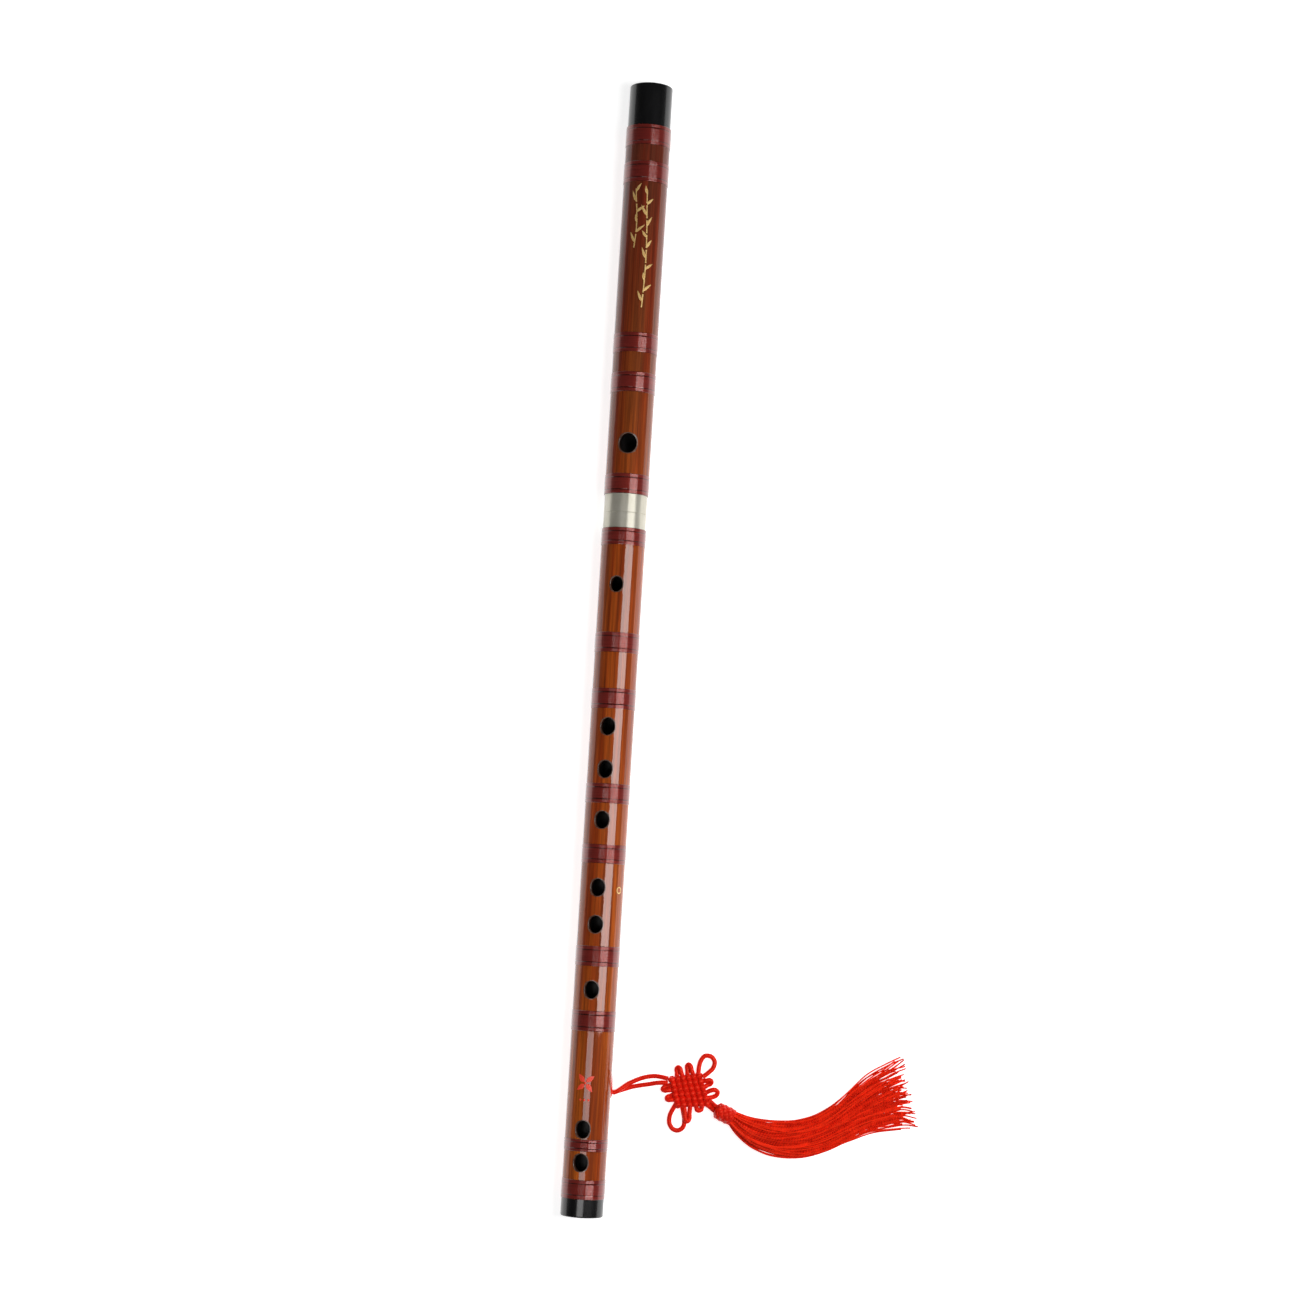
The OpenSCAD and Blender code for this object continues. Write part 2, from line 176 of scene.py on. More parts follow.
class Tubes:
    """Points, faces and UVs of one or more tubes that make up one mesh."""

    def __init__(self):
        self.points, self.faces, self.uvs = [], [], []

    def add(self, line, section, sides=20, side=UP, closed=False, relief=BRAID_RELIEF, number=0):
        """One tube round a line. section is its half sizes along side and square to it, or a function
        of the point that gives them. relief is the braid's height, as a share of them. A side that is
        UP stays level, and number is the whole part of U."""
        first = len(self.points)
        level = side is UP
        count, side, run = len(line), Vector(side), 0.0
        runs = []
        for i, p in enumerate(line):
            before = line[i - 1] if i or closed else p
            after = line[(i + 1) % count] if closed or i < count - 1 else p
            along = (after - before).normalized()
            if level:
                side = UP
            side = (side - along * side.dot(along)).normalized()
            up = along.cross(side)
            run += (p - line[i - 1]).length if i else 0
            runs.append(run)
            high, wide = section(p) if callable(section) else section
            for k in range(sides):
                a = 2 * pi * k / sides
                bump = cos(BRAID_STRANDS * a) * cos(2 * pi * run / BRAID_PITCH)
                swell = 1 + relief * bump
                rise, reach = high * swell * cos(a), wide * swell * sin(a)
                self.points.append(p + side * rise + up * reach)
        for i in range(count if closed else count - 1):
            j = (i + 1) % count
            v0, v1 = runs[i], runs[j] if j else run + (line[0] - line[-1]).length
            self.faces += band(first + i * sides, first + j * sides, sides)
            for k in range(sides):
                u0, u1 = number + k / sides, number + (k + 1) / sides
                self.uvs.append([(u0, v0), (u1, v0), (u1, v1), (u0, v1)])
        if not closed:
            for i in (0, count - 1):
                ring = [first + i * sides + k for k in range(sides)]
                self.faces.append(ring if i else ring[::-1])
                self.uvs.append([(k / sides, runs[i]) for k in range(sides)])

    def piece(self, name, look):
        return mesh_piece(name, self.points, self.faces, [look], uvs=self.uvs)


# ---- materials
class Look:
    """A material, with short ways to add nodes to it."""

    def __init__(self, name):
        self.mat = bpy.data.materials.new(name)
        self.mat.use_nodes = True
        self.tree = self.mat.node_tree
        self.shader = self.tree.nodes["Principled BSDF"]
        self.spot = self.node("TexCoord").outputs["Object"]

    def feed(self, socket, value):
        if isinstance(value, bpy.types.NodeSocket):
            self.tree.links.new(value, socket)
        else:
            socket.default_value = value

    def node(self, kind, inputs=(), **settings):
        made = self.tree.nodes.new("ShaderNode" + kind)
        for key, value in settings.items():
            setattr(made, key, value)
        for key, value in dict(inputs).items():
            self.feed(made.inputs[key], value)
        return made

    def finish(self, **values):
        """Sets the shader's inputs: base_color sets Base Color, and so on."""
        names = {socket.name.lower().replace(" ", "_"): socket for socket in self.shader.inputs}
        for key, value in values.items():
            self.feed(names[key], value)
        return self.mat

    def noise(self, stretch, detail=4.0, rough=0.55):
        """Noise whose features are one over stretch metres long, along X, Y and Z."""
        place = self.node("Mapping", {"Vector": self.spot, "Scale": stretch}).outputs[0]
        inputs = {"Vector": place, "Scale": 1.0, "Detail": detail, "Roughness": rough}
        return self.node("TexNoise", inputs).outputs[0]

    def ramp(self, value, *stops):
        made = self.node("ValToRGB", {0: value})
        elements = made.color_ramp.elements
        while len(elements) < len(stops):
            elements.new(0.5)
        for element, (place, colour) in zip(elements, stops):
            element.position, element.color = place, colour
        return made.outputs[0]

    def mix(self, share, a, b, blend="MIX"):
        """A mix of two colours, whose sockets are the node's inputs 6 and 7 and its output 2."""
        made = self.node("Mix", data_type="RGBA", blend_type=blend)
        self.feed(made.inputs[0], share)
        self.feed(made.inputs[6], a)
        self.feed(made.inputs[7], b)
        return made.outputs[2]

    def math(self, operation, a, b=0.0):
        return self.node("Math", {0: a, 1: b}, operation=operation).outputs[0]

    def bump(self, height, distance, strength=1.0):
        inputs = {"Height": height, "Distance": distance, "Strength": strength}
        return self.node("Bump", inputs).outputs[0]

    def along(self):
        """The two UV coordinates of a tube: round it, and metres along it."""
        parts = self.node("SeparateXYZ", {0: self.node("TexCoord").outputs["UV"]})
        return parts.outputs[0], parts.outputs[1]


def grey(value):
    return (value, value, value, 1)


def bamboo_look():
    """Lacquered bamboo: dark red-brown at the head, more orange at the foot, with fibres along it. The
    darkening towards the head is partly the lacquer's own colour and partly painted shade.
    """
    look = Look("lacquered_bamboo")
    x = look.node("SeparateXYZ", {0: look.spot}).outputs[0]
    place = look.node("MapRange", {"Value": x, "From Min": FOOT_X, "From Max": -FOOT_X}).outputs[0]
    # Painted shade in part: the colour darkens from foot to head, partly the lacquer's own colour and
    # partly shade.
    ground = look.ramp(
        place, (0.0, rgb(170, 82, 20)), (0.3, rgb(160, 74, 20)), (0.6, rgb(150, 68, 18)),
        (0.72, rgb(128, 60, 20)), (0.95, rgb(98, 44, 28)),
    )
    broad = look.ramp(look.noise((5, 170, 170), detail=2), (0.38, grey(0)), (0.62, grey(0.55)))
    toned = look.mix(broad, ground, rgb(122, 26, 5))
    fibres = look.noise((14, 620, 620), detail=5, rough=0.7)
    contrast = look.ramp(fibres, (0.3, grey(0.5)), (0.5, grey(1)), (0.75, grey(1.7)))
    streaked = look.mix(1.0, toned, contrast, "MULTIPLY")
    hairs = look.ramp(look.noise((30, 2400, 2400), detail=2), (0.35, grey(0.7)), (0.65, grey(1.2)))
    fine = look.mix(0.5, streaked, hairs, "MULTIPLY")
    ripple = look.noise((9, 140, 140), detail=1)
    return look.finish(
        base_color=fine, roughness=0.5, specular_ior_level=0.05,
        normal=look.bump(fibres, 0.03 * MM, 0.4), coat_weight=1.0, coat_roughness=0.03, coat_ior=1.45,
        coat_normal=look.bump(ripple, 0.012 * MM, 0.5),
    )


def cut_look():
    """The cut edge of the bamboo in a hole: darker lacquer over end grain."""
    look = Look("cut_bamboo")
    pores = look.noise((900, 900, 900), detail=3)
    colour = look.ramp(pores, (0.3, rgb(28, 14, 9)), (0.7, rgb(66, 34, 20)))
    return look.finish(base_color=colour, roughness=0.35, coat_weight=0.5, coat_roughness=0.15)


def rim_look():
    """The rounded edge of a hole, where the lacquer is rubbed thin and pale."""
    look = Look("rubbed_rim")
    worn = look.noise((500, 500, 500), detail=3)
    colour = look.ramp(worn, (0.3, rgb(58, 32, 22)), (0.7, rgb(116, 84, 68)))
    return look.finish(base_color=colour, roughness=0.3, coat_weight=0.6, coat_roughness=0.1)


def bore_look():
    """Near-black lacquer in the bore, brushed along it, with painted shade that makes it as dark as the
    inside of a hole.
    """
    look = Look("bore_lacquer")
    strokes = look.noise((20, 700, 700), detail=3)
    # Painted shade over dark lacquer: the bore's colour is near-black.
    colour = look.ramp(strokes, (0.3, rgb(10, 6, 5)), (0.7, rgb(26, 13, 10)))
    return look.finish(base_color=colour, roughness=0.5, normal=look.bump(strokes, 0.05 * MM))


def thread_look(name, dark, light):
    """Lacquered winding thread, with twisted fibres and small differences from turn to turn."""
    look = Look(name)
    turns = look.noise((2400, 40, 40), detail=3)
    colour = look.ramp(turns, (0.3, dark), (0.7, light))
    fuzz = look.noise((1500, 2600, 2600), detail=2)
    return look.finish(
        base_color=colour, roughness=0.3, specular_ior_level=0.9, specular_tint=rgb(255, 110, 95),
        normal=look.bump(fuzz, 0.02 * MM, 0.5), coat_weight=0.9, coat_roughness=0.06,
    )


def horn_look():
    """Polished black end ring: near-black with faint cloudy streaks and fine turning marks."""
    look = Look("black_horn")
    cloud = look.noise((60, 260, 260), detail=3)
    colour = look.ramp(cloud, (0.3, rgb(8, 8, 9)), (0.75, rgb(22, 22, 23)))
    turning = look.noise((5200, 30, 30), detail=1)
    return look.finish(
        base_color=colour, roughness=0.22, normal=look.bump(turning, 0.01 * MM, 0.35), coat_weight=0.3,
        coat_roughness=0.08,
    )


def metal_look():
    """Turned white metal, whose fine rings spread each reflection along the flute."""
    look = Look("white_metal")
    rings = look.noise((5000, 4, 4), detail=1)
    stain = look.noise((90, 140, 140), detail=4)
    colour = look.ramp(stain, (0.3, rgb(204, 199, 182)), (0.7, rgb(218, 214, 200)))
    turned = look.mix(look.math("MULTIPLY", rings, 0.35), colour, rgb(150, 145, 130))
    around = look.node("Tangent", direction_type="RADIAL", axis="X").outputs[0]
    return look.finish(
        base_color=turned, metallic=0.5, roughness=0.4, anisotropic=0.95, anisotropic_rotation=0.25,
        tangent=around, normal=look.bump(rings, 0.006 * MM, 0.5),
    )


def cork_look(name, dark, light):
    """Cork: tan, with darker pits of many sizes."""
    look = Look(name)
    pits = look.noise((700, 700, 700), detail=6, rough=0.7)
    colour = look.ramp(pits, (0.35, dark), (0.52, light), (0.8, rgb(214, 176, 126)))
    return look.finish(base_color=colour, roughness=0.85, normal=look.bump(pits, 0.2 * MM, 0.6))


# Keeps a U that is just the thread's number from being rounded down
UV_SLACK = 0.001


def satin_look(name, turns, pitch, dark, light, sheen):
    """Satin thread or cord: threads cross round it in two directions, with a soft sheen, painted shade in
    the grooves between the threads and a painted highlight on their crests.
    """
    look = Look(name)
    u, v = look.along()
    around = look.math("MULTIPLY", u, turns * tau)
    ahead = look.math("MULTIPLY", v, tau / pitch)
    one = look.math("SINE", look.math("ADD", around, ahead))
    two = look.math("SINE", look.math("SUBTRACT", around, ahead))
    weave = look.math("MAXIMUM", one, two) if turns > 1 else one
    number = look.math("FLOOR", look.math("ADD", u, UV_SLACK))
    own = look.node("TexWhiteNoise", {"W": number}, noise_dimensions="1D").outputs["Value"]
    tone = look.math("ADD", look.math("MULTIPLY", look.noise((260, 260, 260), detail=3), 0.6),
                     look.math("MULTIPLY", own, 0.4))
    shaded = look.ramp(tone, (0.28, dark), (0.68, light))
    # Painted shade and highlight: the colour is darker in the grooves between the threads and lighter on
    # their crests.
    colour = look.mix(look.math("MULTIPLY", look.math("ADD", weave, 1), 0.3), shaded, light)
    return look.finish(
        base_color=colour, roughness=0.36, specular_ior_level=0.7, specular_tint=rgb(255, 120, 90),
        normal=look.bump(weave, 0.05 * MM, 0.6), sheen_weight=sheen, sheen_roughness=0.4,
        sheen_tint=rgb(255, 90, 60),
    )


def paint_look(name, colour, edge, metallic):
    """Hand-laid paint or leaf, a little uneven."""
    look = Look(name)
    patches = look.noise((1300, 1300, 1300), detail=4)
    base = look.ramp(patches, (0.3, edge), (0.6, colour))
    uneven = look.bump(patches, 0.02 * MM, 0.5)
    return look.finish(base_color=base, metallic=metallic, roughness=0.38, normal=uneven)


BAMBOO = bamboo_look()
CUT = cut_look()
RIM = rim_look()
BORE = bore_look()
THREAD = thread_look("binding_thread", rgb(92, 26, 22), rgb(122, 40, 34))
THREAD_DARK = thread_look("binding_thread_dark", rgb(26, 7, 6), rgb(42, 12, 10))
HORN = horn_look()
METAL = metal_look()
CORK = cork_look("cork", rgb(110, 70, 40), rgb(186, 140, 92))
SEAL_CORK = cork_look("seal_cork", rgb(120, 78, 46), rgb(196, 150, 100))
SATIN = satin_look("satin_cord", 4, 1.1 * MM, rgb(164, 5, 3), rgb(240, 34, 18), 0.1)
TASSEL = satin_look("tassel_thread", 1, 1.6 * MM, rgb(176, 4, 2), rgb(255, 50, 22), 0.04)
GOLD = paint_look("gold_leaf", rgb(244, 208, 136), rgb(206, 152, 80), 0.25)
VERMILION = paint_look("vermilion", rgb(255, 78, 48), rgb(236, 50, 30), 0.0)

# ---- camera, as the photograph's
CAMERA_PLACE = Vector((-0.1478, -0.01949, 1.6619))
CAMERA_AIM = Vector((-0.00243, -0.01949, 0))
CAMERA_LENS = 79.33
SENSOR_WIDTH = 36
# Turn of the picture, in which the flute's head leans to the right
CAMERA_ROLL = radians(3.5)


def placed(place, right, up, back):
    """The matrix of a camera or light at a place, from the ways of its three axes."""
    turn = Matrix((right, up, back)).transposed()
    return Matrix.Translation(place) @ turn.to_4x4()


def make_camera():
    data = bpy.data.cameras.new("camera")
    data.lens = CAMERA_LENS
    data.sensor_width = SENSOR_WIDTH
    camera = bpy.data.objects.new("camera", data)
    bpy.context.scene.collection.objects.link(camera)
    back = (CAMERA_PLACE - CAMERA_AIM).normalized()
    up = Vector((1, 0, 0))
    right = up.cross(back).normalized()
    up = back.cross(right)
    rolled_up = up * cos(CAMERA_ROLL) - right * sin(CAMERA_ROLL)
    rolled_right = rolled_up.cross(back)
    camera.matrix_world = placed(CAMERA_PLACE, rolled_right, rolled_up, back)
    bpy.context.scene.camera = camera


make_camera()

# ---- the pendant's cord
# Routes as (x, y, z) in mm
STRAND_A = [
    (-257.5, -13.6, 1.8), (-257.5, -14.6, 1.7), (-257, -16.2, 1.5), (-256.2, -18.3, 1.3),
    (-255.2, -21, 1.2), (-254.1, -24, 1.2), (-252.9, -29, 1.2), (-251.9, -34, 1.3),
    (-251, -38, 1.7), (-250.6, -41.5, 1.9), (-250.5, -44.6, 1.8),
]
STRAND_B = [
    (-257.5, -13.6, 4.7), (-257.5, -14.6, 4.6), (-256.4, -16.5, 4.2), (-254.7, -18.8, 3.4),
    (-252.6, -21.5, 2.5), (-251.1, -24.3, 1.7), (-249.7, -27.2, 1.2), (-248.4, -30.5, 1.2),
    (-247.5, -34, 1.3), (-247.1, -37.5, 1.7), (-247.4, -41, 2.4), (-248, -44.5, 3.2),
]
UPPER_EAR = [
    (-247.5, -61, 2.6), (-244.2, -61.7, 2.2), (-240.5, -61.9, 1.6), (-236.8, -62.8, 1.2),
    (-234, -65, 1.2), (-234.2, -68.6, 1.2), (-237, -70.7, 1.2), (-240.6, -70, 1.5),
    (-243.6, -67.2, 2.1), (-246, -64.2, 2.6),
]
LOWER_EAR = [
    (-262, -50, 2.6), (-265, -48.4, 2.1), (-269, -46.8, 1.5), (-273.3, -46.8, 1.2),
    (-276.4, -48.9, 1.2), (-277.1, -52.2, 1.2), (-274.9, -54.9, 1.2), (-271, -55.3, 1.4),
    (-266.6, -54.4, 2), (-263, -53.4, 2.6),
]
TAIL = [(-260.2, -68, 2.8), (-261.7, -70.2, 3.2), (-263, -72, 4.4), (-264.2, -74.4, 5.1)]
# Distance in mm of the two cord ends from the tail's line, and their lean
TAIL_SPREAD = 1.15
TAIL_LEAN = radians(27)
# Hitch: [along the flute from the first rear hole, round the tube, out from the flute's axis]
LOWER_END = [(0, 0.4, 17), (0, 0.8, 16.2), (0, 1.1, 15), (0, 1.25, 13.5)]
UPPER_END = [(0, -1.75, 15.2), (0, -1.4, 14.5), (0, -1.25, 13.5)]
HITCH_HALF = [
    (0, 1.25, 11.8), (0, 1.25, 10), (0.1, 1.25, 8.4), (1.1, 1.25, 6.8), (3.3, 1.25, 5.7),
    (6, 1.25, 5.4), (8.7, 1.25, 5.7), (10.9, 1.25, 6.8), (11.9, 1.25, 8.4), (12, 1.25, 10),
    (12, 1.25, 11.8), (11.6, 1.3, 13), (10.4, 1.5, 13.7), (8, 2.2, 13.7), (5, 3.1, 13.4),
    (2, 3.8, 13.2), (0, 3.9, 13.1), (-1.7, 3.3, 13.3), (-2.8, 1.8, 13.6), (-3.1, 0, 13.7),
]
# The hitch's second pass is drawn closer in, where it is this far round the tube
CLOSE_FROM = 1.4
CLOSE_SHARE = 0.75
# Half width and half height of a run that lies on the table
STRAND_OVAL = (1.3 * MM, 1.16 * MM)


def metres(points):
    return [Vector(p) * MM for p in points]


def strand(name, node, route):
    """One free run of the cord, from the flute's side to the knot."""
    line = smooth_line(metres(route), BRAID_STEP)
    tubes = Tubes()
    tubes.add(line, STRAND_OVAL, side=(1, 0, 0))
    piece = tubes.piece(name, SATIN)
    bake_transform(piece)
    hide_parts(node)
    return piece, line


strand_a, line_a = strand("strand_a", "cord_strand_a", STRAND_A)
strand_b, line_b = strand("strand_b", "cord_strand_b", STRAND_B)


def hitch_point(p):
    """From the hitch's own coordinates to the row frame."""
    s = CORD_HOLES[0][0] + p[0] * MM
    out = Vector((0, -sin(CORD_TURN), cos(CORD_TURN)))
    around = Vector((0, -cos(CORD_TURN), -sin(CORD_TURN)))
    return Vector((FOOT_X + s, 0, AXIS_Z)) + out * (p[2] * MM) + around * (p[1] * MM)


def make_hitch():
    """The cord's lark's-head hitch through the two rear holes."""
    mirrored = [(x, -y * (CLOSE_SHARE if y > CLOSE_FROM else 1), z) for x, y, z in HITCH_HALF[-2::-1]]
    route = [hitch_point(p) for p in LOWER_END + HITCH_HALF + mirrored + UPPER_END[::-1]]
    starts = [line_a[0], line_b[0]]
    ends = sorted(starts, key=lambda p: (p - route[0]).length)
    tubes = Tubes()
    line = smooth_line([ends[0], *route, ends[1]], BRAID_STEP)
    tubes.add(line, (CORD_D / 2, CORD_D / 2), side=(1, 0, 0))
    hitch = tubes.piece("hitch", SATIN)
    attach(hitch, "body_section")
    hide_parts("cord_hitch")


make_hitch()

# ---- the knot
KNOT_CORNERS = metres([(-247.5, -45, 0), (-243.5, -63, 0), (-262.3, -70, 0), (-264, -49.5, 0)])
LANES = 6
KNOT_MID_Z = 2.5 * MM
KNOT_RISE = 1.15 * MM
KNOT_CORD_R = 1.36 * MM
# Half height and half width of the cord where it lies loose, and where the weave presses it flat
RESTING = (1.18 * MM, KNOT_CORD_R)
PRESSED = (1.12 * MM, 1.62 * MM)
# Distance into the weave where it is fully pressed
PRESSED_FROM = 1.5 * MM
# Reach in mm of the only small loop that isn't pulled shut
OPEN_LOOP = 7.4
# Reach of the two small loops on each side, in the order of the lanes that they join
LOOPS_ACROSS = ((6.2, 5.0), (5.8, OPEN_LOOP))
LOOPS_ALONG = ((6.4, 7.0), (9.6, 3.6))
# How far a small loop's legs are drawn in at its waist and shoulder, in mm
OPEN_PINCH = (-0.3, 0)
SHUT_PINCH = (0.35, 0.5)
WAIST = 0.4
SHOULDER = 0.8
LOOP_LIFT = Vector((0, 0, 0.5 * MM))


def knot_place(p, q):
    """A point of the woven part, p of the way to the upper ear and q of the way to the lower ear."""
    entry, upper, leaving, lower = KNOT_CORNERS
    return (entry * (1 - p) + upper * p) * (1 - q) + (lower * (1 - p) + leaving * p) * q


def lane_share(i):
    return (i + 0.5) / LANES


def lane(i, crosswise):
    """One run of cord across the weave, over and under the runs that it crosses."""
    points = []
    for step in range(2 * LANES + 1):
        share = step / (2 * LANES)
        p, q = (lane_share(i), share) if crosswise else (share, lane_share(i))
        place = knot_place(p, q)
        crossing = step % 2 == 1
        over = (i + step // 2 + crosswise) % 2 == 0
        rise = (KNOT_RISE if over else -KNOT_RISE) if crossing else 0
        points.append(place + Vector((0, 0, KNOT_MID_Z + rise)))
    return points


def side_loop(start, end, outward, reach):
    """Points of a small loop that joins the ends of two neighbouring runs."""
    pinch, pinch_far = OPEN_PINCH if reach == OPEN_LOOP else SHUT_PINCH
    reach = reach * MM - KNOT_CORD_R
    across = (end - start).normalized() * MM
    return [
        start + outward * reach * WAIST + across * pinch + LOOP_LIFT,
        start + outward * reach * SHOULDER + across * pinch_far + LOOP_LIFT,
        (start + end) / 2 + outward * reach,
        end + outward * reach * SHOULDER - across * pinch_far - LOOP_LIFT,
        end + outward * reach * WAIST - across * pinch - LOOP_LIFT,
    ]


def outward_of(a, b):
    """Level direction out of the knot, square to the line from a to b."""
    middle = sum(KNOT_CORNERS, Vector()) / 4
    out = (b - a).cross(UP).normalized()
    return out if out.dot((a + b) / 2 - middle) > 0 else -out


def pressed(p):
    """Half height and half width of the cord at a point: flat in the weave, round outside it."""
    depths = []
    for a, b in zip(KNOT_CORNERS, KNOT_CORNERS[1:] + KNOT_CORNERS[:1]):
        flat = Vector((p.x, p.y, 0))
        depths.append(-outward_of(a, b).dot(flat - a))
    share = max(0.0, min(1.0, min(depths) / PRESSED_FROM))
    return tuple(a * (1 - share) + b * share for a, b in zip(RESTING, PRESSED))


def make_weave():
    """The square of woven cord and the two small loops along each of its sides."""
    tubes = Tubes()
    for crosswise, near, far in ((0, *LOOPS_ACROSS), (1, *LOOPS_ALONG)):
        for pair, (i, j) in enumerate(((1, 2), (3, 4))):
            out, back = lane(i, crosswise), lane(j, crosswise)[::-1]
            end_loop = side_loop(out[-1], back[0], outward_of(out[-1], back[0]), far[pair])
            start_loop = side_loop(back[-1], out[0], outward_of(back[-1], out[0]), near[pair])
            loop = out + end_loop + back + start_loop
            line = smooth_line(loop + loop[:1], BRAID_STEP)[:-1]
            tubes.add(line, pressed, closed=True)
        for i in (0, LANES - 1):
            line = smooth_line(lane(i, crosswise), BRAID_STEP)
            tubes.add(line, pressed)
    return tubes.piece("knot_weave", SATIN)


def make_ears():
    """The two long ear loops at the knot's corners."""
    tubes = Tubes()
    for route in (UPPER_EAR, LOWER_EAR):
        line = smooth_line(metres(route), BRAID_STEP)
        tubes.add(line, RESTING)
    return tubes.piece("knot_ears", SATIN)


def make_tails():
    """The two cord ends that go on into the tassel."""
    section = (KNOT_CORD_R, KNOT_CORD_R)
    tubes = Tubes()
    for side in (-1, 1):
        shift = Vector((side * TAIL_SPREAD, -side * TAIL_SPREAD * sin(TAIL_LEAN), 0))
        route = [Vector(p) + shift for p in TAIL]
        line = smooth_line(metres(route), BRAID_STEP)
        tubes.add(line, section, side=(1, 0, 0))
    return tubes.piece("knot_ends", SATIN)


# ---- the tassel
HEAD_Z = 5.1
HEAD_START = Vector((-263.5, -72.3, HEAD_Z)) * MM
HEAD_END = Vector((-268, -83, HEAD_Z)) * MM
HEAD_R = 4.5 * MM
PLAIT_H = 0.62 * MM
PLAIT_COLUMNS = 6
PLAIT_ROWS = 3.5
# The thread wound round the head's lower end
WRAP_TURNS = 3
WRAP_R = 0.42 * MM
WRAP_STEPS = 48


def head_profile(t):
    """Radius of the tassel's head, from 0 at the knot to 1 where the threads start."""
    shoulder = sqrt(max(0.0, 1 - (1 - min(1, t / 0.3)) ** 2))
    neck = max(0.0, (t - 0.8) / 0.2)
    return HEAD_R * (0.35 + 0.65 * shoulder) * (1 - 0.12 * neck * neck)


def plait(column, row):
    """Height of a plaited surface: two sets of slanting strands that go over and under."""
    a, b = column + row, column - row
    over = (floor(a) + floor(b)) % 2
    across, along = (a % 1, b % 1) if over else (b % 1, a % 1)
    return sin(pi * across) ** 0.7 * (0.55 + 0.45 * sin(pi * along))


def make_tassel_head():
    """The plaited knob that holds the threads, and the thread wound round its lower end."""
    rows, sides = 64, 112
    along = (HEAD_END - HEAD_START).normalized()
    side = along.cross(UP).normalized()
    up = side.cross(along)
    length = (HEAD_END - HEAD_START).length
    points, faces = [], []
    for i in range(rows + 1):
        t = i / rows
        for k in range(sides):
            a = tau * k / sides
            fade = min(1, 8 * t, 10 * (1 - t))
            r = head_profile(t) + PLAIT_H * fade * plait(PLAIT_COLUMNS * k / sides, PLAIT_ROWS * t)
            around = side * cos(a) + up * sin(a)
            points.append(HEAD_START + along * (length * t) + around * r)
    for i in range(rows):
        faces += band(i * sides, (i + 1) * sides, sides)
    faces += [list(range(sides))[::-1], [rows * sides + k for k in range(sides)]]
    wrap = Tubes()
    wrap.points, wrap.faces = points, faces
    wrap.uvs = [[(0, 0)] * len(face) for face in faces]
    coil = []
    for i in range(WRAP_TURNS * WRAP_STEPS + 1):
        a = tau * i / WRAP_STEPS
        place = HEAD_END + along * ((i / WRAP_STEPS - WRAP_TURNS) * 2 * WRAP_R)
        coil.append(place + (side * cos(a) + up * sin(a)) * (HEAD_R * 0.9 + WRAP_R))
    wrap.add(coil, (WRAP_R, WRAP_R), sides=8, side=along, relief=0)
    return wrap.piece("plaited_head", SATIN)


# Middle (x, y), width and height of the bundle of threads at places along it, in mm
SKIRT = [
    ((-267.6, -82.1), 8.6, 8.6), ((-272.2, -89), 13.5, 8), ((-276, -97.5), 18, 7.4),
    ((-278.2, -108), 21, 7), ((-277.8, -120), 22, 6.8), ((-274, -132.5), 22, 6.6),
    ((-267.5, -144), 22.5, 6.4), ((-260.2, -155), 26, 6.2), ((-254, -166), 32, 6),
    ((-249.6, -176), 36, 5.6), ((-247.4, -184), 41, 5),
]
THREADS = 190
THREAD_R = 0.43 * MM
THREAD_STEP = 1.7 * MM
# Outer threads run this far inside the bundle's outline, in mm
THREAD_INSET = 0.4
# The first threads made stray from the others
STRAYS = 12
# Share of its route that a thread is cut to, and share of threads cut long
LONG_CUT = (0.9, 1.0)
SHORT_CUT = (0.8, 0.92)
CUT_LONG = 0.8
# A thread's wander sideways and in depth, as shares of the bundle's half sizes
WANDER = 0.34
DEPTH_WANDER = 0.25
# Share of the route where the bundle starts to fan out
FAN_FROM = 0.45
FAN_LENGTH = 0.55


def make_skirt():
    """The tassel's threads, each from its place in the head to its own cut end on the table."""
    rng = random.Random(7)
    tubes = Tubes()
    middles = [Vector((*place, 0)) for place, _, _ in SKIRT]
    last = len(SKIRT) - 1
    for number in range(THREADS):
        stray = number < STRAYS
        radius, angle = sqrt(rng.random()), rng.uniform(0, tau)
        across, lift = radius * cos(angle), radius * sin(angle)
        side = 1 if number % 3 else -1
        across = side * abs(across) ** 0.4 if stray else across
        seed = rng.uniform(0, 100)
        cut = rng.uniform(*(LONG_CUT if rng.random() < CUT_LONG else SHORT_CUT))
        spray = side * rng.uniform(0.15, 0.5) if stray else rng.gauss(0, 0.1)
        points = []
        for k, (place, width, height) in enumerate(SKIRT):
            share = k / last
            ahead = middles[min(k + 1, last)] - middles[max(k - 1, 0)]
            sideways = ahead.cross(UP).normalized()
            wander = WANDER * noise.noise(Vector((share * 3.1, seed, 0))) * min(1, 3 * share)
            lateral = across + wander + spray * max(0.0, share - FAN_FROM) / FAN_LENGTH
            if not stray:
                lateral = max(-1, min(1, lateral))
            drift = noise.noise(Vector((share * 4.3, seed, 9)))
            depth = lift * (1 - 0.25 * share) + DEPTH_WANDER * drift
            half_h = height / 2
            mid_z = HEAD_Z if k == 0 else half_h + (HEAD_Z - half_h) * max(0, 1 - 3 * share)
            z = max(THREAD_R / MM + 0.05, mid_z + max(-1, min(1, depth)) * (half_h - THREAD_INSET))
            flat = middles[k] + sideways * (lateral * (width / 2 - THREAD_INSET))
            points.append(Vector((flat.x, flat.y, z)) * MM)
        line = smooth_line(points, THREAD_STEP)
        line = [Vector((p.x, p.y, max(p.z, THREAD_R))) for p in line[: round(len(line) * cut)]]
        tubes.add(line, (THREAD_R, THREAD_R), sides=6, relief=0, number=number)
    return tubes.piece("tassel_threads", TASSEL)


